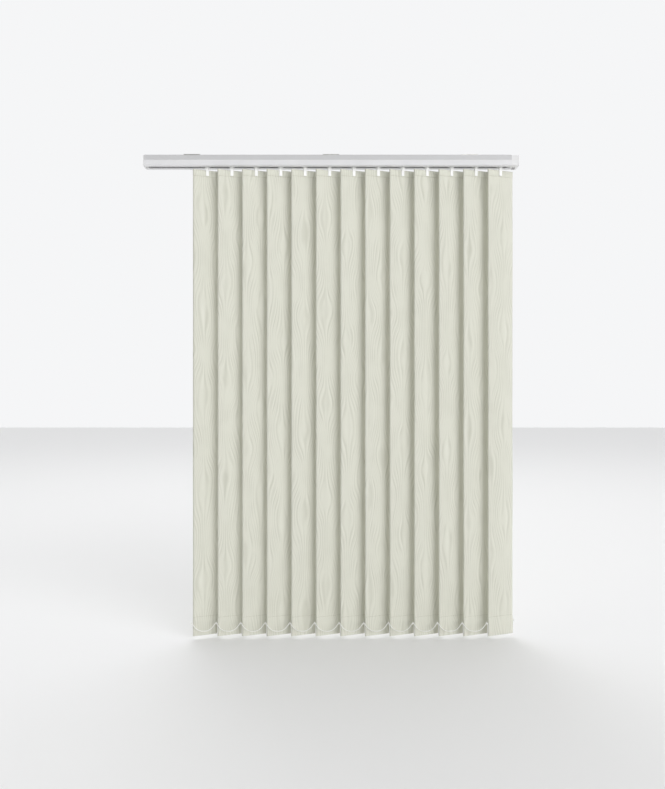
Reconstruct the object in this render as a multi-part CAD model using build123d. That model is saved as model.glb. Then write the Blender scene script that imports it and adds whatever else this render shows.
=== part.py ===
"""A vertical blind: fabric vanes that hang from carriers in a headrail, and turn and draw together.

The frame is in millimetres. X runs along the headrail, -Y faces the room and +Z is up. The origin is
the middle of the ceiling face, on top of the middle bracket, so the whole blind hangs below z = 0.
"""

from build123d import *
import os
from math import atan2, cos, degrees, pi, radians, sin, tan

# Overall sizes: the blind's length follows from its vanes and the bare rail at each end
VANE_COUNT = 13
VANE_WIDTH = 89.0
VANE_DROP = 1445.0
VANE_PITCH = 76.0
VANE_ANGLE = 20.0
VANE_TOP_GAP = 9.0
FIRST_STEM_INSET = 195.0
LAST_STEM_INSET = 53.0

# Clearances
GLIDE = 0.3
TURN = 0.2
SNUG = 0.1

# Headrail
RAIL_DEPTH = 45.0
RAIL_HEIGHT = 32.0
RAIL_WALL = 1.5
RAIL_SLOT = 16.0
RAIL_STEP = 1.2
RAIL_STEP_HEIGHT = 15.0
LIP_RIB = 1.5

# Top-fix brackets
BRACKET_INSET = 150.0
BRACKET_LENGTH = 50.0
BRACKET_SHEET = 1.5
BRACKET_HOLE_R = 2.3
BRACKET_HOLE_SPACING = 28.0
RAIL_DROP = 5.0
FLANGE_HALF = 14.0
FLANGE_WEB_HALF = 11.5
FLANGE_SHEET = 1.5

# End caps
CAP_PLATE = 3.0
CAP_PLUG = 8.0
CONTROL_LENGTH = 22.0
CONTROL_WALL = 2.0
CHAIN_WHEEL_WIDTH = 8.0
CHAIN_WHEEL_GAP = 1.0
CHAIN_POCKET_PITCH = 4.5
CHAIN_POCKET_R = 1.9

# Tilt rod
ROD_R = 3.0
ROD_GEAR_GAP = 1.0
ROD_BELOW_RAIL_TOP = 15.5
ROD_FLUTES = 6
ROD_FLUTE_R = 0.7
ROD_END_PLAY = 0.5

# Carriers and their spacer strips
CARRIER_LENGTH = 18.0
CARRIER_SIDE_ROOM = 3.8
CARRIER_HEAD_ROOM = 5.2
FOOT_HEIGHT = 3.0
FOOT_RIB_GAP = 0.5
STRIP_SHEET = 0.6
STRIP_LEVEL_STEP = 1.4
STRIP_WALL_GAP = 1.2
STRIP_EDGE = 1.0
STRIP_HEIGHT = 4.5
STRIP_BLOCK = 2.0
STRIP_TOOTH = 2.0
REBATE_WALL = 2.0
REBATE_DEPTH = 6.8

# Stems
STEM_R = 4.0
GEAR_TEETH = 16
GEAR_R = 6.0
GEAR_TOOTH = 1.1
GEAR_HEIGHT = 5.4
COLLAR_R = 7.0
COLLAR_HEIGHT = 4.0
COLLAR_GAP = 1.0
CLIP_WIDTH = 9.0
CLIP_BELOW_VANE_TOP = 17.5
CLIP_BACK_BELOW_VANE_TOP = 12.5
CLIP_FRONT_SHEET = 1.6
CLIP_BACK_SHEET = 1.4
LUG_R = 2.0
LUG_BELOW_VANE_TOP = 8.0

# Vane fabric, hanger plate and bottom weight
FABRIC = 0.5
HANGER_INSET = 4.5
HANGER_HEIGHT = 14.0
HANGER_SHEET = 1.5
TOP_HEM = 19.5
FOOT_HEM = 58.5
WEIGHT_PROUD = 1.0
WEIGHT_HEIGHT = 40.0
WEIGHT_SHEET = 2.6
TAB_REACH = 3.5
TAB_HEIGHT = 3.0
TAB_R = 1.8
TAB_PIN_R = 1.0
TAB_PIN_HEIGHT = 3.0
TAB_HEAD_OVER_RING = 0.35
TAB_HEAD_HEIGHT = 0.8

# Stabilising chains
CHAIN_R = 0.9
CHAIN_ABOVE_TAB = 1.2
RING_PLAY = 0.25
RING_WALL = 0.95
RING_HEIGHT = 1.5
# One loop of chain, from one clip to the next, as (share of the pitch, mm below the clip)
CHAIN_LOOP = [
    (0.034, 0.0),
    (0.080, 6.5),
    (0.185, 16.5),
    (0.355, 24.5),
    (0.645, 24.5),
    (0.815, 16.5),
    (0.920, 6.5),
    (0.966, 0.0),
]
BEND_SHARE = 0.45

# Sizes, heights and places worked out from the sizes above
OVERALL_LENGTH = FIRST_STEM_INSET + (VANE_COUNT - 1) * VANE_PITCH + LAST_STEM_INSET
RAIL_TOP = -RAIL_DROP
RAIL_BOTTOM = RAIL_TOP - RAIL_HEIGHT
RAIL_INSIDE_TOP = RAIL_TOP - RAIL_WALL
LIP_TOP = RAIL_BOTTOM + RAIL_WALL
RAIL_LEFT = -OVERALL_LENGTH / 2 + CAP_PLATE
RAIL_RIGHT = OVERALL_LENGTH / 2 - CONTROL_LENGTH
RAIL_INSIDE_HALF = RAIL_DEPTH / 2 - RAIL_STEP - RAIL_WALL
FOOT_BOTTOM = LIP_TOP + GLIDE
CARRIER_BOTTOM = LIP_TOP + LIP_RIB + GLIDE
CARRIER_TOP = RAIL_INSIDE_TOP - CARRIER_HEAD_ROOM
CARRIER_HALF_DEPTH = RAIL_INSIDE_HALF - CARRIER_SIDE_ROOM
FOOT_INSIDE = RAIL_SLOT / 2 + RAIL_WALL + FOOT_RIB_GAP
ROD_Y = GEAR_R + ROD_GEAR_GAP + ROD_R
ROD_Z = RAIL_TOP - ROD_BELOW_RAIL_TOP
WHEEL_SIDE_ROOM = RAIL_DEPTH / 2 - ROD_Y
WHEEL_HEAD_ROOM = ROD_BELOW_RAIL_TOP
CHAIN_WHEEL_R = min(WHEEL_SIDE_ROOM, WHEEL_HEAD_ROOM) - CONTROL_WALL - CHAIN_WHEEL_GAP / 2
CHAIN_POCKETS = round(2 * pi * CHAIN_WHEEL_R / CHAIN_POCKET_PITCH)
GEAR_BOTTOM = ROD_Z - GEAR_HEIGHT / 2
GEAR_ROOT_R = GEAR_R - GEAR_TOOTH
REBATE_Y = -GEAR_R - REBATE_WALL
REBATE_FLOOR = CARRIER_TOP - REBATE_DEPTH
STRIP_BOTTOM = REBATE_FLOOR + STRIP_BLOCK
STRIP_FIRST_Y = REBATE_Y - STRIP_WALL_GAP
STRIP_LEVELS = 1 + int((CARRIER_HALF_DEPTH - STRIP_EDGE + STRIP_FIRST_Y) / STRIP_LEVEL_STEP)
VANE_TOP = RAIL_BOTTOM - VANE_TOP_GAP
VANE_BOTTOM = VANE_TOP - VANE_DROP
HANGER_WIDTH = VANE_WIDTH - 2 * HANGER_INSET
HANGER_TOP = VANE_TOP - FABRIC - SNUG
HANGER_POCKET_HALF = HANGER_SHEET / 2 + SNUG
WEIGHT_WIDTH = VANE_WIDTH + 2 * WEIGHT_PROUD
WEIGHT_BOTTOM = VANE_BOTTOM + FABRIC + SNUG
WEIGHT_TOP = WEIGHT_BOTTOM + WEIGHT_HEIGHT
WEIGHT_POCKET_HALF = WEIGHT_SHEET / 2 + SNUG
LUG_Z = VANE_TOP - LUG_BELOW_VANE_TOP
CLIP_INSIDE = HANGER_POCKET_HALF + FABRIC + TURN
TAB_PIN_X = WEIGHT_WIDTH / 2 + TAB_REACH
RING_BORE_R = TAB_PIN_R + RING_PLAY
RING_R = RING_BORE_R + RING_WALL
TAB_HEAD_R = RING_BORE_R + TAB_HEAD_OVER_RING
CHAIN_Z = WEIGHT_TOP + CHAIN_ABOVE_TAB
LAST_STEM_X = OVERALL_LENGTH / 2 - LAST_STEM_INSET


def stem_x(index):
    """The place along the headrail of a vane's stem, counted from 0 at the left."""
    return LAST_STEM_X - (VANE_COUNT - 1 - index) * VANE_PITCH


def block(x_range, y_range, z_range):
    """A box from its lowest and highest X, Y and Z."""
    size = [high - low for low, high in (x_range, y_range, z_range)]
    centre = [(low + high) / 2 for low, high in (x_range, y_range, z_range)]
    return Pos(*centre) * Box(*size)


def upright(radius, bottom, top, x=0.0, y=0.0):
    """A vertical cylinder between two heights."""
    return Pos(x, y, (bottom + top) / 2) * Cylinder(radius, top - bottom)


def lengthwise(radius, left, right, y=ROD_Y, z=ROD_Z):
    """A cylinder along X between two places."""
    return Pos((left + right) / 2, y, z) * Rot(0, 90, 0) * Cylinder(radius, right - left)


def along_x(outline, left, right):
    """A closed outline of (y, z) points, carried along X."""
    face = make_face(Polyline([(left, y, z) for y, z in outline], close=True))
    return extrude(face, amount=right - left, dir=(1, 0, 0))


def mirrored(half):
    """Half an outline, at positive Y, closed with its mirror image."""
    return half + [(-y, z) for y, z in reversed(half)]


def housing_outline(bottom=RAIL_BOTTOM):
    """The outside of the headrail: a stepped face above a fuller lower half."""
    outer = RAIL_DEPTH / 2
    step = RAIL_TOP - RAIL_STEP_HEIGHT
    return mirrored(
        [
            (outer - RAIL_STEP, RAIL_TOP),
            (outer - RAIL_STEP, step),
            (outer, step - RAIL_STEP),
            (outer, bottom + RAIL_WALL),
            (outer - RAIL_WALL, bottom),
        ]
    )


def headrail():
    """The aluminium channel, with lips under it and two flanges on top for the brackets."""
    inner = RAIL_DEPTH / 2 - RAIL_WALL
    step = RAIL_TOP - RAIL_STEP_HEIGHT - RAIL_WALL
    hollow = mirrored(
        [
            (RAIL_INSIDE_HALF, RAIL_INSIDE_TOP),
            (RAIL_INSIDE_HALF, step),
            (inner, step - RAIL_STEP),
            (inner, LIP_TOP),
            (RAIL_SLOT / 2 + RAIL_WALL, LIP_TOP),
            (RAIL_SLOT / 2 + RAIL_WALL, LIP_TOP + LIP_RIB),
            (RAIL_SLOT / 2, LIP_TOP + LIP_RIB),
            (RAIL_SLOT / 2, RAIL_BOTTOM - 1),
        ]
    )
    channel = along_x(housing_outline(), RAIL_LEFT, RAIL_RIGHT)
    channel -= along_x(hollow, RAIL_LEFT - 1, RAIL_RIGHT + 1)
    flange_top = -BRACKET_SHEET
    web = (FLANGE_WEB_HALF - FLANGE_SHEET, FLANGE_WEB_HALF)
    for side in (1, -1):
        web_y = sorted((side * web[0], side * web[1]))
        flange_y = sorted((side * web[0], side * FLANGE_HALF))
        channel += block((RAIL_LEFT, RAIL_RIGHT), web_y, (RAIL_TOP, flange_top))
        flange_z = (flange_top - FLANGE_SHEET, flange_top)
        channel += block((RAIL_LEFT, RAIL_RIGHT), flange_y, flange_z)
    return channel


def bracket(x):
    """A top-fix bracket that slides over the headrail's flanges, with two screw holes."""
    span = (x - BRACKET_LENGTH / 2, x + BRACKET_LENGTH / 2)
    arm = FLANGE_HALF + GLIDE
    outer = arm + BRACKET_SHEET
    hook_top = -BRACKET_SHEET - FLANGE_SHEET - GLIDE
    hook_bottom = RAIL_TOP + GLIDE
    body = block(span, (-outer, outer), (-BRACKET_SHEET, 0))
    for side in (1, -1):
        arm_y = sorted((side * arm, side * outer))
        hook_y = sorted((side * (FLANGE_WEB_HALF + GLIDE), side * outer))
        body += block(span, arm_y, (hook_bottom, -BRACKET_SHEET))
        body += block(span, hook_y, (hook_bottom, hook_top))
        hole_x = x + side * BRACKET_HOLE_SPACING / 2
        body -= upright(BRACKET_HOLE_R, -BRACKET_SHEET - 1, 1, x=hole_x)
    return body


def plug(left, right):
    """The stub of an end cap that fits inside the headrail's hollow."""
    half = RAIL_INSIDE_HALF - GLIDE
    return block((left, right), (-half, half), (CARRIER_BOTTOM, RAIL_INSIDE_TOP - GLIDE))


def end_cap_left():
    """The plain cap, with a blind bush for the tilt rod."""
    cap = along_x(housing_outline(), -OVERALL_LENGTH / 2, RAIL_LEFT)
    cap += plug(RAIL_LEFT, RAIL_LEFT + CAP_PLUG)
    return cap - lengthwise(ROD_R + TURN, RAIL_LEFT, RAIL_LEFT + CAP_PLUG + 1)


def wheel_span():
    """Where the chain wheel lies along X inside the control housing."""
    middle = (RAIL_RIGHT + OVERALL_LENGTH / 2) / 2
    return middle - CHAIN_WHEEL_WIDTH / 2, middle + CHAIN_WHEEL_WIDTH / 2


def control_cavity():
    """The room round the chain wheel, open downwards for the two falls of the control chain."""
    left, right = wheel_span()
    span = (left - CHAIN_WHEEL_GAP, right + CHAIN_WHEEL_GAP)
    radius = CHAIN_WHEEL_R + CHAIN_WHEEL_GAP / 2
    room = lengthwise(radius, *span)
    return room + block(span, (ROD_Y - radius, ROD_Y + radius), (RAIL_BOTTOM - 1, ROD_Z))


def end_cap_right():
    """The control housing, which holds the chain wheel and the driven end of the tilt rod."""
    cap = along_x(housing_outline(), RAIL_RIGHT, OVERALL_LENGTH / 2)
    cap += plug(RAIL_RIGHT - CAP_PLUG, RAIL_RIGHT)
    cap -= control_cavity()
    rod_end = OVERALL_LENGTH / 2 - CONTROL_WALL
    return cap - lengthwise(ROD_R + TURN, RAIL_RIGHT - CAP_PLUG - 1, rod_end)


def tilt_rod():
    """The fluted rod that turns every stem, from the left cap into the control housing."""
    left = RAIL_LEFT + ROD_END_PLAY
    right = OVERALL_LENGTH / 2 - CONTROL_WALL - ROD_END_PLAY
    section = Circle(ROD_R)
    for number in range(ROD_FLUTES):
        angle = 2 * pi * number / ROD_FLUTES
        section -= Pos(ROD_R * cos(angle), ROD_R * sin(angle)) * Circle(ROD_FLUTE_R)
    section = Pos(left, ROD_Y, ROD_Z) * Rot(0, 90, 0) * section
    return extrude(section, amount=right - left, dir=(1, 0, 0))


def chain_wheel():
    """The wheel that the control chain turns, with a pocket for each ball of the chain."""
    left, right = wheel_span()
    middle = (left + right) / 2
    wheel = lengthwise(CHAIN_WHEEL_R, left, right)
    for number in range(CHAIN_POCKETS):
        angle = 2 * pi * number / CHAIN_POCKETS
        y = ROD_Y + CHAIN_WHEEL_R * cos(angle)
        z = ROD_Z + CHAIN_WHEEL_R * sin(angle)
        wheel -= Pos(middle, y, z) * Sphere(CHAIN_POCKET_R)
    return wheel - lengthwise(ROD_R + SNUG / 2, left - 1, right + 1)


def strip_y(index):
    """How far forward a carrier's spacer strip lies, so that strips pass each other when drawn."""
    return STRIP_FIRST_Y - STRIP_LEVEL_STEP * (index % STRIP_LEVELS)


def strip_block(index, left, right, top):
    """A small upstand on a carrier's rebate, in line with one carrier's spacer strip."""
    middle = strip_y(index)
    half = STRIP_SHEET / 2
    return block((left, right), (middle - half, middle + half), (REBATE_FLOOR, top))


def spacer_strip(index, x):
    """The flat strip that sets the pitch to the carrier on the left, with a tooth at its far end."""
    half = STRIP_SHEET / 2
    y_range = (strip_y(index) - half, strip_y(index) + half)
    carrier_end = x - VANE_PITCH - CARRIER_LENGTH / 2
    tooth_right = carrier_end - GLIDE
    left = tooth_right - STRIP_TOOTH
    top = STRIP_BOTTOM + STRIP_HEIGHT
    strip = block((left, x + CARRIER_LENGTH / 2 - 1), y_range, (STRIP_BOTTOM, top))
    tooth_z = (REBATE_FLOOR + GLIDE, STRIP_BOTTOM)
    return strip + block((left, tooth_right), y_range, tooth_z)


def carrier(index):
    """The glider that holds one stem, and the spacer strip that links it to the carrier on its left."""
    x = stem_x(index)
    half = CARRIER_LENGTH / 2
    span = (x - half, x + half)
    depth = CARRIER_HALF_DEPTH
    body = block(span, (-depth, depth), (CARRIER_BOTTOM, CARRIER_TOP))
    for side in (1, -1):
        foot_y = sorted((side * FOOT_INSIDE, side * depth))
        body += block(span, foot_y, (FOOT_BOTTOM, FOOT_BOTTOM + FOOT_HEIGHT))
    body -= block((x - half - 1, x + half + 1), (-depth - 1, REBATE_Y), (REBATE_FLOOR, CARRIER_TOP + 1))
    body -= upright(STEM_R + TURN, CARRIER_BOTTOM - 1, CARRIER_TOP, x=x)
    body -= upright(GEAR_R + GLIDE, GEAR_BOTTOM - TURN, CARRIER_TOP + 1, x=x)
    worm_room = (ROD_Z - GEAR_HEIGHT, ROD_Z + GEAR_HEIGHT)
    body -= block((x - GEAR_R, x + GEAR_R), (0, depth - RAIL_WALL), worm_room)
    body -= lengthwise(ROD_R + TURN, x - half - 1, x + half + 1)
    if index < VANE_COUNT - 1:
        body += strip_block(index + 1, x - half, x - half + STRIP_TOOTH, STRIP_BOTTOM - GLIDE)
    solids = [body]
    if index > 0:
        solids[0] += strip_block(index, x - STRIP_TOOTH, x + STRIP_TOOTH, STRIP_BOTTOM)
        solids.append(spacer_strip(index, x))
    return solids


def on_vane(index, shape):
    """Turn a shape modelled about its own stem to the vane's angle, and put it at its place."""
    return Pos(stem_x(index), 0, 0) * Rot(0, 0, VANE_ANGLE) * shape


def gear():
    """The toothed wheel on top of a stem."""
    wheel = Circle(GEAR_ROOT_R)
    depth = GEAR_R - GEAR_ROOT_R
    width = pi * GEAR_ROOT_R / GEAR_TEETH
    for number in range(GEAR_TEETH):
        tooth = Pos(GEAR_ROOT_R + depth / 2 - SNUG, 0) * Rectangle(depth, width)
        wheel += Rot(0, 0, 360 * number / GEAR_TEETH) * tooth
    return Pos(0, 0, GEAR_BOTTOM) * extrude(wheel, amount=GEAR_HEIGHT)


def stem():
    """The turning stem: gear, shaft, collar below the headrail, and the clip that grips the vane."""
    collar_top = RAIL_BOTTOM - COLLAR_GAP
    collar_bottom = collar_top - COLLAR_HEIGHT
    half = CLIP_WIDTH / 2
    front = -CLIP_INSIDE - CLIP_FRONT_SHEET
    back = CLIP_INSIDE + CLIP_BACK_SHEET
    saddle = VANE_TOP + GLIDE
    body = gear() + upright(STEM_R, collar_top, GEAR_BOTTOM)
    body += upright(COLLAR_R, collar_bottom, collar_top)
    body += block((-half, half), (front, back), (saddle, collar_bottom))
    front_z = (VANE_TOP - CLIP_BELOW_VANE_TOP, saddle)
    back_z = (VANE_TOP - CLIP_BACK_BELOW_VANE_TOP, saddle)
    body += block((-half, half), (front, -CLIP_INSIDE), front_z)
    body += block((-half + 1, half - 1), (CLIP_INSIDE, back), back_z)
    lug_length = 2 * CLIP_INSIDE
    return body + Pos(0, 0, LUG_Z) * Rot(90, 0, 0) * Cylinder(LUG_R, lug_length)


def lug_hole(half_depth):
    """The hole through a vane's top pocket that its stem's lug passes through."""
    return Pos(0, 0, LUG_Z) * Rot(90, 0, 0) * Cylinder(LUG_R + TURN, 2 * half_depth + 2)


def hanger_plate():
    """The stiff plate in a vane's top pocket."""
    half = HANGER_WIDTH / 2
    thick = HANGER_SHEET / 2
    plate = block((-half, half), (-thick, thick), (HANGER_TOP - HANGER_HEIGHT, HANGER_TOP))
    return plate - lug_hole(thick)


def vane_fabric():
    """One folded strip of cloth: flat between a pocket at the top and a deeper one at the foot."""
    sheet = FABRIC / 2
    top = HANGER_POCKET_HALF + FABRIC
    foot = WEIGHT_POCKET_HALF + FABRIC
    top_pocket = (HANGER_TOP - HANGER_HEIGHT - SNUG, HANGER_TOP + SNUG)
    foot_pocket = (WEIGHT_BOTTOM - SNUG, WEIGHT_TOP + 2)
    outline = [
        (top, VANE_TOP),
        (top, top_pocket[0] - FABRIC),
        (sheet, VANE_TOP - TOP_HEM),
        (sheet, VANE_BOTTOM + FOOT_HEM),
        (foot, foot_pocket[1] + FABRIC),
        (foot, VANE_BOTTOM),
    ]
    half = VANE_WIDTH / 2
    cloth = along_x(mirrored(outline), -half, half)
    through = (-half - 1, half + 1)
    cloth -= block(through, (-HANGER_POCKET_HALF, HANGER_POCKET_HALF), top_pocket)
    cloth -= block(through, (-WEIGHT_POCKET_HALF, WEIGHT_POCKET_HALF), foot_pocket)
    return cloth - lug_hole(top)


def bottom_weight():
    """The plate in a vane's foot pocket, with a pin at each end for the stabilising chains."""
    half = WEIGHT_WIDTH / 2
    thick = WEIGHT_SHEET / 2
    weight = block((-half, half), (-thick, thick), (WEIGHT_BOTTOM, WEIGHT_TOP))
    tab_z = (WEIGHT_TOP - TAB_HEIGHT, WEIGHT_TOP)
    pin_top = WEIGHT_TOP + TAB_PIN_HEIGHT
    for side in (1, -1):
        pin_x = side * TAB_PIN_X
        weight += block(sorted((side * half, pin_x)), (-thick, thick), tab_z)
        weight += upright(TAB_R, *tab_z, x=pin_x)
        weight += upright(TAB_PIN_R, WEIGHT_TOP, pin_top, x=pin_x)
        weight += upright(TAB_HEAD_R, pin_top, pin_top + TAB_HEAD_HEIGHT, x=pin_x)
    return weight


def pin_place(index, side):
    """The middle of a weight's pin, at the near edge (side -1) or the far edge (side 1)."""
    x = stem_x(index) + side * TAB_PIN_X * cos(radians(VANE_ANGLE))
    return x, side * TAB_PIN_X * sin(radians(VANE_ANGLE))


def chain_points(side):
    """The route of a stabilising chain: past the first pin, then one loop to each next pin."""
    first_x, pin_y = pin_place(0, side)
    y = pin_y + side * RING_R
    lead = CHAIN_LOOP[0][0] * VANE_PITCH
    points = [(first_x - lead, y, CHAIN_Z)]
    for index in range(VANE_COUNT - 1):
        start = pin_place(index, side)[0]
        points += [(start + share * VANE_PITCH, y, CHAIN_Z - drop) for share, drop in CHAIN_LOOP]
    last_x = pin_place(VANE_COUNT - 1, side)[0]
    return points + [(last_x + lead, y, CHAIN_Z)]


def bend_radii(points):
    """The radius at each inner point of a route, as large as its two runs allow."""
    radii = []
    for before, here, after in zip(points, points[1:], points[2:]):
        arriving = Vector(here) - Vector(before)
        leaving = Vector(after) - Vector(here)
        turn = radians(arriving.get_angle(leaving))
        shorter = min(arriving.length, leaving.length)
        radii.append(BEND_SHARE * shorter / tan(turn / 2))
    return radii


def chain(side):
    """A stabilising chain: one run of chain with an eye round the pin of each weight."""
    points = chain_points(side)
    radii = bend_radii(points)
    print(f"chain {side}: least radius {min(radii):.1f} mm, largest {max(radii):.1f} mm")
    path = FilletPolyline(*points, radius=radii)
    section = Plane(origin=points[0], z_dir=(1, 0, 0)) * Circle(CHAIN_R)
    run = sweep(section, path=path)
    ring_bottom = WEIGHT_TOP + GLIDE
    for index in range(VANE_COUNT):
        x, y = pin_place(index, side)
        eye = upright(RING_R, ring_bottom, ring_bottom + RING_HEIGHT, x=x, y=y)
        run += eye - upright(RING_BORE_R, ring_bottom - 1, ring_bottom + RING_HEIGHT + 1, x=x, y=y)
    print(f"chain {side}: {path.length:.1f} mm long, {run.volume:.0f} mm3 with its eyes")
    return run


def write(name, *solids):
    """Write one node's solids to its STEP file."""
    shape = solids[0] if len(solids) == 1 else Compound(children=list(solids))
    export_step(shape, f"parts/{name}.step")


def main():
    os.makedirs("parts", exist_ok=True)
    write("headrail", headrail())
    write("end_cap_left", end_cap_left())
    write("end_cap_right", end_cap_right())
    bracket_x = OVERALL_LENGTH / 2 - BRACKET_INSET
    write("brackets", *[bracket(x) for x in (-bracket_x, 0, bracket_x)])
    write("tilt_rod", tilt_rod())
    write("chain_wheel", chain_wheel())
    write("chain_front", chain(-1))
    write("chain_back", chain(1))
    turning = stem()
    plate = hanger_plate()
    cloth = vane_fabric()
    weight = bottom_weight()
    for index in range(VANE_COUNT):
        number = f"{index + 1:02d}"
        write(f"carrier_{number}", *carrier(index))
        write(f"stem_{number}", on_vane(index, turning), on_vane(index, plate))
        write(f"vane_{number}", on_vane(index, cloth))
        write(f"weight_{number}", on_vane(index, weight))


main()
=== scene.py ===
"""The looks of the vertical blind, in metres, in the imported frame. -Y faces the room."""

import bpy
from math import cos, pi, radians, sin
from mathutils import Matrix, Vector


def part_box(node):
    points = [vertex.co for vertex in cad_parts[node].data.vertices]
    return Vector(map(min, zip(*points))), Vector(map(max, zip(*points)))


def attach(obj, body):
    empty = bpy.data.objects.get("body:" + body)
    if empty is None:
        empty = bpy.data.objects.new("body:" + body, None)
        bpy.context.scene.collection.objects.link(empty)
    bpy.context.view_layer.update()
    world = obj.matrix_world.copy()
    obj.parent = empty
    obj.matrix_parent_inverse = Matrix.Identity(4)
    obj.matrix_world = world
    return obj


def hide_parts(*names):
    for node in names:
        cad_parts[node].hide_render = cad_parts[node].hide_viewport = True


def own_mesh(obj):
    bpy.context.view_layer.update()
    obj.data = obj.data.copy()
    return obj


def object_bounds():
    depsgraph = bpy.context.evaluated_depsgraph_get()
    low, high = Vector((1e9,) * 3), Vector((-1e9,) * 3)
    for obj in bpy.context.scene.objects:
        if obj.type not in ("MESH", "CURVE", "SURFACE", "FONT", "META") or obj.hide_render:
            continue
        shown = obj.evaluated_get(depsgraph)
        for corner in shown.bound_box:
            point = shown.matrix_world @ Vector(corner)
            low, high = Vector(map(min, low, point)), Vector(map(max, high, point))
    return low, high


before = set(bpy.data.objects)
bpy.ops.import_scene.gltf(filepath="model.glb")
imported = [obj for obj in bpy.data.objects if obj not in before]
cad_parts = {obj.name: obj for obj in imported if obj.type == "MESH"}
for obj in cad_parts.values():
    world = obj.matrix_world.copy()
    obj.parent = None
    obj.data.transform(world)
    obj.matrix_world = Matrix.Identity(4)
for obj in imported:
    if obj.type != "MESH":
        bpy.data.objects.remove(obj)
cad_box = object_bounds()

VANES = 13
NUMBERS = [f"{index + 1:02d}" for index in range(VANES)]
PITCH = 0.076
VANE_ANGLE = radians(20)

# Vane cloth: its place comes from the frame, and these are its hems and the thickness of what they wrap
CLOTH = 0.0005
HANGER_HALF = 0.00085
WEIGHT_HALF = 0.0014
TOP_HEM = 0.0195
FOOT_HEM = 0.0585
FOOT_POCKET = 0.0445
HEM_EASE = 0.0040
HEM_LAP = CLOTH * 1.1
ARC_LEAD = 0.001
FREE_ROWS = 78
COLUMNS = 17

# How the cloth stands from flat, and how far from each hem it takes to do so in full
BOW = 0.0030
TOP_HOLD = 0.16
FOOT_HOLD = 0.14
EDGE_RIPPLE = 0.0005
BODY_RIPPLE = 0.0004
EDGE_TURN = 9.0
BODY_TURN = 17.0
VANE_PHASE = 1.7

# Stitches
STITCH_STEP = 0.0028
STITCH_GAP = 0.0006
STITCH_R = 0.00030
STITCH_RINGS = 5
STITCH_SIDES = 6
STITCH_EDGE_GAP = 0.0012
STITCH_FRONT = -CLOTH / 2
STITCH_BACK = CLOTH * 1.6
# Both thread colours are darker than the cloth; part of that darkness is painted shade for the crease along
# each hem
THREAD_DARK = (0.26, 0.25, 0.17, 1)
THREAD_PALE = (0.36, 0.34, 0.24, 1)

# The weave: its threads, the almond shapes that the strands sway round, and each family's strand pitch
# and strength
WARP_PITCH = 0.0009
WEFT_PITCH = 0.0011
ALMOND_PITCH = 0.098
ALMOND_LENGTH = 0.290
ALMOND_SWAY = 0.0135
STRAND_FAMILIES = [(0.0092, 0.62), (0.0057, 0.42)]
FAMILY_SHIFT = 700
CLOTH_COLOUR = (0.690, 0.690, 0.606)
CLOTH_PALE = (0.745, 0.745, 0.664)
CLOTH_DARK = (0.575, 0.575, 0.494)

# Chains, and the pins on the weights that carry them
CHAIN_BEAD_R = 0.0015
CHAIN_LINK_R = 0.0007
CHAIN_SIDES = 8
BEAD_STEP = 0.0040
RINGS_PER_BEAD = 8
CLIP_HALF_LENGTH = 0.0034
TAB_PIN_REACH = 0.049
TAB_PIN_HEIGHT = 0.0038
CHAIN_OFFSET = 0.0022
CHAIN_ABOVE_TAB = 0.0012
EYE_HEIGHT = 0.00105
EYE_R = 0.0018
EYE_WIRE_R = 0.00055
EYE_SEGMENTS = 20
EYE_SIDES = 8
# One loop of chain from one clip to the next, as (share of the pitch, metres below the clip, metres out)
CHAIN_LOOP = [
    (0.034, 0.0, 0.0),
    (0.080, 0.0065, 0.0020),
    (0.185, 0.0165, 0.0022),
    (0.355, 0.0245, 0.0018),
    (0.645, 0.0245, 0.0018),
    (0.815, 0.0165, 0.0022),
    (0.920, 0.0065, 0.0020),
    (0.966, 0.0, 0.0),
]

# The headrail's front is set back in its upper half, and painted shade fades in on it between these two
# heights
STEP_LOW = -0.0205
STEP_HIGH = -0.0185
RAIL_WHITE = (0.76, 0.76, 0.77, 1)
RAIL_DULL = (0.73, 0.73, 0.74, 1)
# A painted shade tone for the set-back upper half of the headrail's front
RAIL_SHADE = (0.55, 0.55, 0.555, 1)

# Camera: its distance, how much it sees at that distance and where it looks
VIEW_DISTANCE = 2.2
VIEW_HEIGHT = 2.457
VIEW_X = 0.0047
VIEW_BELOW_VANE_TOP = 0.6975
SENSOR = 36.0

# Stage: the surroundings go from the room's level to the window's between two directions along Y
FLOOR_GAP = 0.010
FLOOR_HALF = 14.0
FLOOR_TONE = 0.86
ROOM_LEVEL = 0.36
WINDOW_LEVEL = 0.93
ROOM_SIDE = -0.3
WINDOW_SIDE = 0.5
SKY_COLOUR = (0.985, 0.99, 1.0, 1)
LIGHT_AIM = (0, 0, -0.75)


def stem_axis(number):
    """The vertical axis that a vane turns about, as (x, y)."""
    low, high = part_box(f"vane_{number}")
    middle = (low + high) / 2
    return middle.x, middle.y


VANE_LOW, VANE_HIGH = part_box("vane_01")
VANE_TOP = VANE_HIGH.z
VANE_BOTTOM = VANE_LOW.z
VANE_HALF = (VANE_HIGH.x - VANE_LOW.x - 2 * (WEIGHT_HALF + CLOTH) * sin(VANE_ANGLE)) / 2 / cos(VANE_ANGLE)
TAB_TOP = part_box("weight_01")[1].z - TAB_PIN_HEIGHT


# ---------------------------------------------------------------- camera

def make_camera():
    """The camera faces the blind square on, about level with its middle."""
    data = bpy.data.cameras.new("camera")
    data.sensor_width = SENSOR
    data.lens = SENSOR * VIEW_DISTANCE / VIEW_HEIGHT
    data.clip_end = 60
    camera = bpy.data.objects.new("camera", data)
    camera.location = (VIEW_X, -VIEW_DISTANCE, VANE_TOP - VIEW_BELOW_VANE_TOP)
    camera.rotation_euler = (pi / 2, 0, 0)
    bpy.context.scene.collection.objects.link(camera)
    bpy.context.scene.camera = camera


make_camera()


# ---------------------------------------------------------------- node helpers

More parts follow.
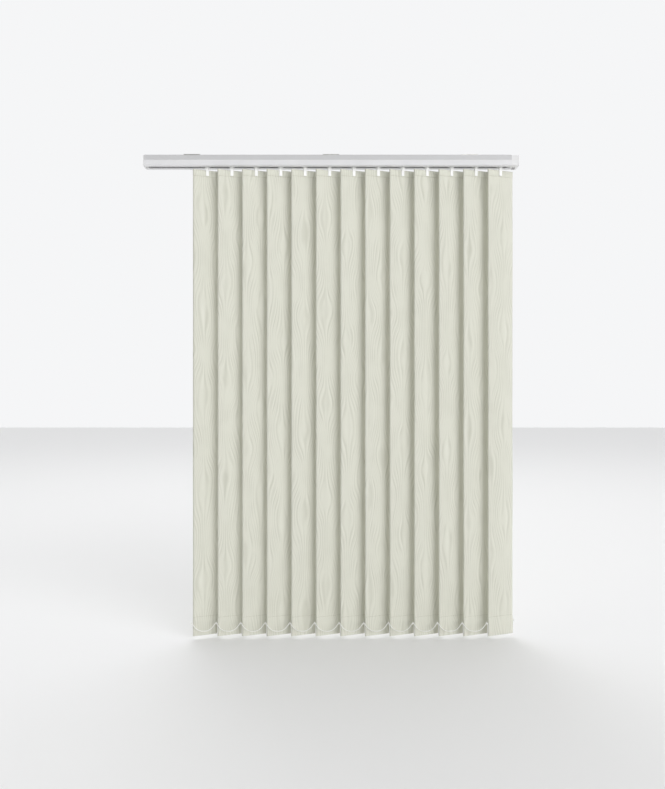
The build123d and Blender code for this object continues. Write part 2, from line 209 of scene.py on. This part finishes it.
class Shader:
    """A short way to build one node material."""

    def __init__(self, name, **values):
        self.material = bpy.data.materials.new(name)
        self.material.use_nodes = True
        self.tree = self.material.node_tree
        self.surface = self.tree.nodes["Principled BSDF"]
        for socket, value in values.items():
            self.surface.inputs[socket.replace("_", " ")].default_value = value

    def node(self, kind, settings=(), **inputs):
        """A new node; an input given as a socket is linked, and any other is a plain value."""
        made = self.tree.nodes.new(kind)
        for key, value in dict(settings).items():
            setattr(made, key, value)
        for key, value in inputs.items():
            self.give(made.inputs[self.socket(key)], value)
        return made

    @staticmethod
    def socket(key):
        """The input that a keyword means: a number for i0, i1 and so on, and otherwise a name."""
        if key[0] == "i" and key[1:].isdigit():
            return int(key[1:])
        return key.replace("_", " ")

    def give(self, socket, value):
        """Link a socket to an output, or set its value."""
        if isinstance(value, bpy.types.NodeSocket):
            self.tree.links.new(value, socket)
        else:
            socket.default_value = value

    def math(self, operation, first, second=0.0, third=0.0):
        """The result of one sum."""
        made = self.node("ShaderNodeMath", {"operation": operation}, i0=first, i1=second, i2=third)
        return made.outputs[0]

    def mix(self, share, first, second):
        """A colour between two others."""
        made = self.node("ShaderNodeMix", {"data_type": "RGBA"})
        self.give(made.inputs[0], share)
        self.give(made.inputs[6], first)
        self.give(made.inputs[7], second)
        return made.outputs[2]

    def range(self, value, low, high, new_low=0.0, new_high=1.0):
        """A value eased from one range to another."""
        made = self.node("ShaderNodeMapRange", {"interpolation_type": "SMOOTHSTEP"})
        for socket, given in zip(made.inputs, (value, low, high, new_low, new_high)):
            self.give(socket, given)
        return made.outputs[0]

    def noise(self, vector, scale, detail=3.0, roughness=0.5):
        """Smooth noise from about 0 to 1."""
        made = self.node("ShaderNodeTexNoise", Vector=vector, Scale=scale, Detail=detail, Roughness=roughness)
        return made.outputs["Fac"]

    def stretched(self, vector, scale):
        """A place with each axis scaled, so that a pattern comes out long or short."""
        made = self.node("ShaderNodeVectorMath", {"operation": "MULTIPLY"}, i0=vector, i1=scale)
        return made.outputs[0]

    def place(self):
        """Where a point lies on the object, in metres."""
        return self.node("ShaderNodeTexCoord").outputs["Object"]

    def colour(self, value):
        """Give the surface its colour."""
        self.give(self.surface.inputs["Base Color"], value)

    def roughness(self, value):
        """Give the surface its roughness."""
        self.give(self.surface.inputs["Roughness"], value)

    def bump(self, height, distance, strength=1.0):
        """Give the surface a relief too fine to model; distance is in metres."""
        made = self.node("ShaderNodeBump", Height=height, Distance=distance, Strength=strength)
        self.tree.links.new(made.outputs[0], self.surface.inputs["Normal"])


# ---------------------------------------------------------------- materials

def strand_place(s, cloth, across, down):
    """Where a point lies across the strands, which sway in an ogee.

    They bow out round tall almond shapes that alternate from side to side and drift a little.
    """
    slow = s.noise(s.stretched(cloth, (9.0, 4.5, 1.0)), 1.0, 1.0)
    moved = s.node("ShaderNodeVectorMath", {"operation": "ADD"}, i0=cloth, i1=(4.3, 2.9, 0)).outputs[0]
    drift = s.noise(s.stretched(moved, (7.0, 3.5, 1.0)), 1.0, 1.0)
    side = s.math("MULTIPLY_ADD", slow, 0.022, across)
    height = s.math("MULTIPLY_ADD", drift, 0.16, down)
    sway = s.math(
        "MULTIPLY",
        s.math("SINE", s.math("MULTIPLY", side, 2 * pi / ALMOND_PITCH)),
        s.math("SINE", s.math("MULTIPLY", height, 2 * pi / ALMOND_LENGTH)),
    )
    return s.math("MULTIPLY_ADD", sway, ALMOND_SWAY, side)


def narrow_wave(s, turn):
    """A wave from 0 to 1 whose crests are narrower than its troughs."""
    return s.math("POWER", s.math("MULTIPLY_ADD", s.math("SINE", turn), 0.5, 0.5), 2.2)


def strands(s, cloth, bent):
    """How far a point is in a strand's dark side and in its light side, over both families."""
    line, highlight = 0.0, 0.0
    for strand_pitch, weight in STRAND_FAMILIES:
        turn = s.math("MULTIPLY", bent, 2 * pi / strand_pitch)
        # Each family shows in patches of its own
        apart = (strand_pitch * FAMILY_SHIFT, 0, 0)
        shifted = s.node("ShaderNodeVectorMath", {"operation": "ADD"}, i0=cloth, i1=apart).outputs[0]
        patches = s.noise(s.stretched(shifted, (30.0, 11.0, 1.0)), 1.0, 1.0)
        seen = s.math("MULTIPLY", s.range(patches, 0.34, 0.60), weight)
        line = s.math("MULTIPLY_ADD", narrow_wave(s, turn), seen, line)
        highlight = s.math("MULTIPLY_ADD", narrow_wave(s, s.math("ADD", turn, 2.0)), seen, highlight)
    return line, highlight


def fabric_material():
    """Pale sage jacquard: fine warp and weft under wavy strands that part and meet like wood grain."""
    s = Shader("sage_jacquard", Sheen_Weight=0.12, Sheen_Roughness=0.5, IOR=1.45, Specular_IOR_Level=0.2)
    cloth = s.node("ShaderNodeUVMap", {"uv_map": "cloth"}).outputs[0]
    split = s.node("ShaderNodeSeparateXYZ", Vector=cloth)
    across, down = split.outputs[0], split.outputs[1]
    line, highlight = strands(s, cloth, strand_place(s, cloth, across, down))
    warp = s.math("SINE", s.math("MULTIPLY", across, 2 * pi / WARP_PITCH))
    weft = s.math("SINE", s.math("MULTIPLY", down, 2 * pi / WEFT_PITCH))
    weave = s.math("MULTIPLY", warp, weft)
    slub = s.noise(s.stretched(cloth, (900.0, 60.0, 1.0)), 1.0, 2.0)
    base = s.mix(s.math("MULTIPLY", highlight, 0.85), (*CLOTH_COLOUR, 1), (*CLOTH_PALE, 1))
    base = s.mix(line, base, (*CLOTH_DARK, 1))
    base = s.mix(s.range(slub, 0.35, 0.75, 0.0, 0.16), base, (*CLOTH_DARK, 1))
    s.colour(base)
    s.roughness(s.math("MULTIPLY_ADD", line, 0.10, 0.76))
    relief = s.math("MULTIPLY_ADD", line, -0.55, s.math("MULTIPLY", highlight, 0.35))
    relief = s.math("MULTIPLY_ADD", weave, 0.16, relief)
    s.bump(relief, 0.00035, 0.8)
    return s.material


def plastic_material(name, colour, roughness, grain=900.0, fleck=0.03):
    """Moulded plastic: an even colour that drifts a little, with a fine moulded grain."""
    s = Shader(name, IOR=1.48)
    place = s.place()
    drift = s.noise(place, 35.0, 3.0)
    shade = tuple(c * (1 - fleck * 2) for c in colour)
    s.colour(s.mix(s.range(drift, 0.3, 0.7), (*colour, 1), (*shade, 1)))
    grains = s.noise(place, grain, 2.0)
    s.roughness(s.math("MULTIPLY_ADD", drift, 0.12, roughness))
    s.bump(grains, 0.00004, 0.5)
    return s.material


def rail_material():
    """White powder coat on an extrusion: faint orange peel, long die lines along X, and painted shade on the
    set-back upper half of the face.
    """
    s = Shader("white_powder_coat", IOR=1.5, Coat_Weight=0.15, Coat_Roughness=0.3)
    place = s.place()
    split = s.node("ShaderNodeSeparateXYZ", Vector=place)
    peel = s.noise(place, 650.0, 2.0)
    lines = s.noise(s.stretched(place, (1.5, 900.0, 900.0)), 1.0, 2.0)
    # Painted shade darkens the upper half of the face, which is set back
    upper = s.range(split.outputs[2], STEP_LOW, STEP_HIGH)
    cloud = s.range(s.noise(place, 14.0, 3.0), 0.35, 0.7)
    tone = s.mix(cloud, RAIL_WHITE, RAIL_DULL)
    tone = s.mix(s.math("MULTIPLY", upper, 0.85), tone, RAIL_SHADE)
    s.colour(tone)
    s.roughness(s.math("MULTIPLY_ADD", lines, 0.14, 0.30))
    s.bump(s.math("MULTIPLY_ADD", lines, 0.5, peel), 0.00005, 0.5)
    return s.material


def metal_material(name, colour, roughness, stretch):
    """Bare metal with the marks of rolling or drawing along one axis."""
    s = Shader(name, Metallic=1.0)
    place = s.place()
    marks = s.noise(s.stretched(place, stretch), 1.0, 3.0, 0.6)
    cloud = s.noise(place, 60.0, 3.0)
    dull = tuple(c * 0.78 for c in colour)
    s.colour(s.mix(s.range(cloud, 0.35, 0.7), (*colour, 1), (*dull, 1)))
    s.roughness(s.math("MULTIPLY_ADD", marks, 0.22, roughness))
    s.bump(marks, 0.00004, 0.4)
    return s.material


def thread_material():
    """Twisted sewing thread, darker and warmer than the cloth; part of its darkness is painted shade for the
    crease along each hem.
    """
    s = Shader("hem_thread", Roughness=0.7, Sheen_Weight=0.2)
    place = s.place()
    twist = s.noise(place, 1600.0, 2.0)
    s.colour(s.mix(twist, THREAD_DARK, THREAD_PALE))
    s.bump(twist, 0.0001, 0.6)
    return s.material


MATERIALS = {
    "fabric": fabric_material(),
    "thread": thread_material(),
    "rail": rail_material(),
    "cap": plastic_material("cap_plastic", (0.80, 0.80, 0.80), 0.38),
    "bracket": metal_material("zinc_plate", (0.62, 0.62, 0.60), 0.32, (40.0, 900.0, 900.0)),
    "rod": metal_material("drawn_aluminium", (0.78, 0.79, 0.80), 0.26, (4.0, 1400.0, 1400.0)),
    "wheel": plastic_material("wheel_plastic", (0.74, 0.74, 0.72), 0.42),
    "carrier": plastic_material("carrier_plastic", (0.80, 0.80, 0.79), 0.40),
    "stem": plastic_material("stem_plastic", (0.90, 0.90, 0.89), 0.24, 1400.0, 0.015),
    "weight": plastic_material("weight_plastic", (0.88, 0.88, 0.86), 0.34),
    "chain": plastic_material("chain_plastic", (0.90, 0.90, 0.87), 0.25, 2200.0, 0.02),
}
CAD_LOOKS = {
    "headrail": "rail",
    "end_cap": "cap",
    "brackets": "bracket",
    "tilt_rod": "rod",
    "chain_wheel": "wheel",
    "carrier": "carrier",
    "stem": "stem",
    "weight": "weight",
}


def paint_cad():
    """Every carried-over CAD node takes the material that its name starts with."""
    for name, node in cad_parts.items():
        look = next((CAD_LOOKS[start] for start in CAD_LOOKS if name.startswith(start)), None)
        if look:
            node.data.materials.clear()
            node.data.materials.append(MATERIALS[look])


# ---------------------------------------------------------------- mesh helpers

def mesh_object(name, points, faces, material):
    """A smooth-shaded object with one material, linked into the scene."""
    mesh = bpy.data.meshes.new(name)
    mesh.from_pydata([tuple(p) for p in points], [], faces)
    mesh.materials.append(MATERIALS[material])
    for polygon in mesh.polygons:
        polygon.use_smooth = True
    made = bpy.data.objects.new(name, mesh)
    bpy.context.scene.collection.objects.link(made)
    return made


def grid_faces(rows, columns):
    """The quads of a grid whose points run row by row."""
    faces = []
    for row in range(rows - 1):
        for column in range(columns - 1):
            first = row * columns + column
            faces.append((first, first + 1, first + columns + 1, first + columns))
    return faces


def arc(y, z, radius, start, end, steps):
    """Points on an arc in the (y, z) plane, from one angle to another."""
    angles = [start + (end - start) * step / steps for step in range(steps + 1)]
    return [(y + radius * cos(a), z + radius * sin(a)) for a in angles]


def spread(start, end, count):
    """Points from start towards end, without the end itself."""
    return [
        (start[0] + (end[0] - start[0]) * step / count, start[1] + (end[1] - start[1]) * step / count)
        for step in range(count)
    ]


# ---------------------------------------------------------------- vanes

def cloth_section():
    """The folded strip seen from its side, as (y, z), from the top hem's raw edge to the foot hem's."""
    top = HANGER_HALF + CLOTH / 2
    foot = WEIGHT_HALF + CLOTH / 2
    hem = VANE_TOP - TOP_HEM
    foot_hem = VANE_BOTTOM + FOOT_HEM
    over = VANE_TOP - CLOTH / 2 - top
    under = VANE_BOTTOM + CLOTH / 2 + foot
    eased = hem + HEM_EASE
    pocket = VANE_BOTTOM + FOOT_POCKET
    path = spread((HEM_LAP, hem), (top, eased), 2)
    path += spread((top, eased), (top, over), 3)
    path += arc(0, over, top, 0, pi, 6)
    path += spread((-top, over - ARC_LEAD), (-top, eased), 3)
    path += spread((-top, eased), (0, hem), 3)
    path += spread((0, hem), (0, foot_hem), FREE_ROWS)
    path += spread((0, foot_hem), (-foot, pocket), 4)
    path += spread((-foot, pocket), (-foot, under), 8)
    path += arc(0, under, foot, pi, 2 * pi, 8)
    path += spread((foot, under + ARC_LEAD), (foot, pocket), 8)
    path += spread((foot, pocket), (HEM_LAP, foot_hem), 4)
    return path + [(HEM_LAP, foot_hem)]


def freedom(z):
    """How free the cloth is to bow: none at the hems, where a plate keeps it flat, and 1 in the middle."""
    below = (VANE_TOP - TOP_HEM - z) / TOP_HOLD
    above = (z - VANE_BOTTOM - FOOT_HEM) / FOOT_HOLD
    share = max(0.0, min(1.0, below, above))
    return share * share * (3 - 2 * share)


def cloth_ripple(across, z, seed):
    """How far cloth stands from flat: one bow across its width, and slow ripples down its length."""
    share = across / VANE_HALF
    bow = -BOW * (1 - share * share)
    phase = seed * VANE_PHASE
    edge = EDGE_RIPPLE * sin(z * EDGE_TURN + phase) * share
    body = BODY_RIPPLE * sin(z * BODY_TURN + 2 * phase)
    return freedom(z) * (bow + (edge + body))


def path_lengths(path):
    """How far along a path each of its points lies."""
    lengths = [0.0]
    for before, here in zip(path, path[1:]):
        lengths.append(lengths[-1] + (Vector(here) - Vector(before)).length)
    return lengths


SECTION = cloth_section()
SECTION_LENGTHS = path_lengths(SECTION)


def vane_cloth(index):
    """One vane's cloth, folded round its hanger plate at the top and its weight at the foot."""
    number = NUMBERS[index]
    points = []
    lengths = []
    for (y, z), length in zip(SECTION, SECTION_LENGTHS):
        for column in range(COLUMNS):
            across = VANE_HALF * (2 * column / (COLUMNS - 1) - 1)
            points.append((across, y + cloth_ripple(across, z, index), z))
            lengths.append((across, length))
    cloth = mesh_object(f"vane_cloth_{number}", points, grid_faces(len(SECTION), COLUMNS), "fabric")
    layer = cloth.data.uv_layers.new(name="cloth")
    # Each vane is cut from another part of the roll
    shift = (0.31 * (index % 3) + 0.043 * index, 0.57 * (index % 4) + 0.091 * index)
    for loop in cloth.data.loops:
        across, length = lengths[loop.vertex_index]
        layer.data[loop.index].uv = (across + shift[0], shift[1] - length)
    thick = cloth.modifiers.new("thickness", "SOLIDIFY")
    thick.thickness = CLOTH
    thick.offset = 0
    return cloth


def place_on_vane(piece, index):
    """Turn a piece modelled about its own stem to the vane's angle, put it there and let it ride."""
    number = NUMBERS[index]
    x, y = stem_axis(number)
    piece.matrix_world = Matrix.Translation((x, y, 0)) @ Matrix.Rotation(VANE_ANGLE, 4, "Z")
    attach(piece, f"blade_{number}")


def tube_faces(rings, sides, base=0):
    """The quads of a tube whose points run ring by ring, with both ends closed."""
    faces = []
    for ring in range(rings - 1):
        for side in range(sides):
            here = base + ring * sides + side
            beside = base + ring * sides + (side + 1) % sides
            faces.append((here, beside, beside + sides, here + sides))
    last = base + (rings - 1) * sides
    faces.append(tuple(base + side for side in reversed(range(sides))))
    faces.append(tuple(last + side for side in range(sides)))
    return faces


def stitch_points(start, end, facing):
    """One stitch: a short thread that rises out of the cloth and dips back in."""
    points = []
    for ring in range(STITCH_RINGS):
        share = ring / (STITCH_RINGS - 1)
        lift = facing * STITCH_R * (1.5 * sin(pi * share) - 0.4)
        middle = Vector(start).lerp(Vector(end), share) + Vector((0, lift, 0))
        thin = STITCH_R * (0.55 + 0.45 * sin(pi * share))
        for side in range(STITCH_SIDES):
            angle = 2 * pi * side / STITCH_SIDES
            points.append(middle + Vector((0, thin * cos(angle), thin * sin(angle))))
    return points


def stitch_line(name, z, index):
    """A row of lock stitches across the vane, seen on both sides of the cloth."""
    count = int(2 * (VANE_HALF - STITCH_EDGE_GAP) / STITCH_STEP)
    points, faces = [], []
    for number in range(count):
        left = -count * STITCH_STEP / 2 + number * STITCH_STEP
        bulge = cloth_ripple(left, z, index)
        for y, facing in ((STITCH_FRONT, -1), (STITCH_BACK, 1)):
            start = (left + STITCH_GAP / 2, y + bulge, z)
            end = (left + STITCH_STEP - STITCH_GAP / 2, y + bulge, z)
            faces += tube_faces(STITCH_RINGS, STITCH_SIDES, len(points))
            points += stitch_points(start, end, facing)
    return mesh_object(name, points, faces, "thread")


def make_vane(index):
    """One vane's cloth and its two rows of stitches."""
    number = NUMBERS[index]
    cloth = vane_cloth(index)
    top_hem = stitch_line(f"top_stitches_{number}", VANE_TOP - TOP_HEM, index)
    foot_hem = stitch_line(f"foot_stitches_{number}", VANE_BOTTOM + FOOT_HEM, index)
    for piece in (cloth, top_hem, foot_hem):
        place_on_vane(piece, index)
    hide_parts(f"vane_{number}")


# ---------------------------------------------------------------- chains

def pin_place(index, side):
    """The middle of a weight's pin, at the near edge (side -1) or the far edge (side 1)."""
    x, y = stem_axis(NUMBERS[index])
    return x + side * TAB_PIN_REACH * cos(VANE_ANGLE), y + side * TAB_PIN_REACH * sin(VANE_ANGLE)


def chain_route(side):
    """The chain's control points: past the first pin, then one loop to each next pin."""
    first_x, pin_y = pin_place(0, side)
    y = pin_y + side * CHAIN_OFFSET
    z = TAB_TOP + CHAIN_ABOVE_TAB
    lead = CHAIN_LOOP[0][0] * PITCH
    points = [Vector((first_x - lead, y, z))]
    for index in range(VANES - 1):
        start = pin_place(index, side)[0]
        for share, drop, out in CHAIN_LOOP:
            points.append(Vector((start + share * PITCH, y + side * out, z - drop)))
    return points + [Vector((pin_place(VANES - 1, side)[0] + lead, y, z))]


def smooth_line(points):
    """The points of the NURBS spline that a route controls."""
    curve = bpy.data.curves.new("route", "CURVE")
    curve.dimensions = "3D"
    curve.resolution_u = 12
    spline = curve.splines.new("NURBS")
    spline.points.add(len(points) - 1)
    for target, point in zip(spline.points, points):
        target.co = (*point, 1)
    spline.order_u = 3
    spline.use_endpoint_u = True
    holder = bpy.data.objects.new("route", curve)
    mesh = bpy.data.meshes.new_from_object(holder)
    line = [v.co.copy() for v in mesh.vertices]
    bpy.data.objects.remove(holder)
    bpy.data.meshes.remove(mesh)
    return line


def even(line, step):
    """Points along a line, evenly spaced."""
    spaced = [line[0].copy()]
    need = step
    for before, here in zip(line, line[1:]):
        run = (here - before).length
        while run > 0 and need <= run:
            spaced.append(before.lerp(here, need / run))
            need += step
        need -= run
    return spaced


def chain_profile(distance, from_pin):
    """The chain's radius: a plain link beside each pin, and round beads on a thin link elsewhere."""
    if from_pin < CLIP_HALF_LENGTH:
        return CHAIN_LINK_R
    within = (distance % BEAD_STEP) / BEAD_STEP - 0.5
    half_bead = CHAIN_BEAD_R / BEAD_STEP
    if abs(within) >= half_bead:
        return CHAIN_LINK_R
    return max(CHAIN_LINK_R, CHAIN_BEAD_R * (1 - (within / half_bead) ** 2) ** 0.5)


def chain_points(path, side):
    """The rings of points round a chain's path, thick at its beads and thin at its links."""
    step = BEAD_STEP / RINGS_PER_BEAD
    across = Vector((0, 1, 0))
    pins = [pin_place(index, side)[0] for index in range(VANES)]
    points = []
    for ring, middle in enumerate(path):
        ahead = path[min(ring + 1, len(path) - 1)] - path[max(ring - 1, 0)]
        up = across.cross(ahead).normalized()
        from_pin = min(abs(middle.x - x) for x in pins)
        radius = chain_profile(ring * step + BEAD_STEP / 2, from_pin)
        for number in range(CHAIN_SIDES):
            angle = 2 * pi * number / CHAIN_SIDES
            points.append(middle + radius * (cos(angle) * across + sin(angle) * up))
    return points


def make_chain(where, side):
    """A beaded stabilising chain that loops from the first vane's weight to the last one's."""
    path = even(smooth_line(chain_route(side)), BEAD_STEP / RINGS_PER_BEAD)
    faces = tube_faces(len(path), CHAIN_SIDES)
    beads = mesh_object(f"bead_chain_{where}", chain_points(path, side), faces, "chain")
    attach(beads, f"{where}_chain")
    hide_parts(f"chain_{where}")
    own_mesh(beads)


def make_eye(index, side):
    """The small snap ring that joins the chain to a weight's pin."""
    number = NUMBERS[index]
    where = "front" if side < 0 else "back"
    x, y = pin_place(index, side)
    z = TAB_TOP + EYE_HEIGHT
    points, faces = [], []
    for segment in range(EYE_SEGMENTS):
        turn = 2 * pi * segment / EYE_SEGMENTS
        here = segment * EYE_SIDES
        ahead = ((segment + 1) % EYE_SEGMENTS) * EYE_SIDES
        for corner in range(EYE_SIDES):
            roll = 2 * pi * corner / EYE_SIDES
            radius = EYE_R + EYE_WIRE_R * cos(roll)
            points.append((x + radius * cos(turn), y + radius * sin(turn), z + EYE_WIRE_R * sin(roll)))
            beside = (corner + 1) % EYE_SIDES
            faces.append((here + corner, ahead + corner, ahead + beside, here + beside))
    eye = mesh_object(f"chain_eye_{where}_{number}", points, faces, "chain")
    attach(eye, f"blade_{number}")


# ---------------------------------------------------------------- stage and light

def floor_material():
    """An even, dull, pale floor."""
    s = Shader("pale_floor", Roughness=0.9, Specular_IOR_Level=0.1)
    s.colour((FLOOR_TONE, FLOOR_TONE, FLOOR_TONE, 1))
    return s.material


def make_floor():
    """A wide floor a little below the blind's foot."""
    z = cad_box[0].z - FLOOR_GAP
    half = FLOOR_HALF
    corners = [(-half, -half, z), (half, -half, z), (half, half, z), (-half, half, z)]
    mesh = bpy.data.meshes.new("floor")
    mesh.from_pydata(corners, [], [(0, 1, 2, 3)])
    mesh.materials.append(floor_material())
    floor = bpy.data.objects.new("floor", mesh)
    bpy.context.scene.collection.objects.link(floor)


def add_lamp(data, place, aim):
    """Put a lamp at a place and point it at another."""
    lamp = bpy.data.objects.new(data.name, data)
    lamp.location = place
    lamp.rotation_euler = (Vector(aim) - Vector(place)).to_track_quat("-Z", "Y").to_euler()
    bpy.context.scene.collection.objects.link(lamp)


def square_light(name, place, aim, size, power):
    """A soft box; size is in metres and power in watts."""
    data = bpy.data.lights.new(name, "AREA")
    data.size = size
    data.energy = power
    add_lamp(data, place, aim)


def far_light(name, place, aim, strength, width):
    """A soft light so far off that it is as strong at the foot as at the top; width is in degrees."""
    data = bpy.data.lights.new(name, "SUN")
    data.energy = strength
    data.angle = radians(width)
    add_lamp(data, place, aim)


def make_world():
    """A studio that is bright behind the blind and dimmer on the room side."""
    world = bpy.data.worlds.new("studio")
    bpy.context.scene.world = world
    world.use_nodes = True
    tree = world.node_tree
    background = tree.nodes["Background"]
    towards = tree.nodes.new("ShaderNodeTexCoord").outputs["Generated"]
    split = tree.nodes.new("ShaderNodeSeparateXYZ")
    level = tree.nodes.new("ShaderNodeMapRange")
    tree.links.new(towards, split.inputs[0])
    tree.links.new(split.outputs[1], level.inputs[0])
    ends = (ROOM_SIDE, WINDOW_SIDE, ROOM_LEVEL, WINDOW_LEVEL)
    for socket, value in zip(list(level.inputs)[1:5], ends):
        socket.default_value = value
    background.inputs["Color"].default_value = SKY_COLOUR
    tree.links.new(level.outputs[0], background.inputs["Strength"])


def make_lights():
    """A broad key light from the room's right, a weak one behind and a soft box above."""
    far_light("key", place=(4.5, -5.2, 0.9), aim=LIGHT_AIM, strength=2.16, width=56)
    far_light("back", place=(-0.9, 3.6, 1.2), aim=LIGHT_AIM, strength=0.45, width=38)
    square_light("top", place=(0, 2.0, 4.0), aim=(0, 1.0, -1.5), size=6.0, power=90)


def build():
    """Make everything: the chains are first, since they are the cords."""
    bpy.context.scene.view_settings.view_transform = "Standard"
    for where, side in (("front", -1), ("back", 1)):
        make_chain(where, side)
    paint_cad()
    for index in range(VANES):
        make_vane(index)
        for side in (-1, 1):
            make_eye(index, side)
    make_floor()
    make_world()
    make_lights()


build()
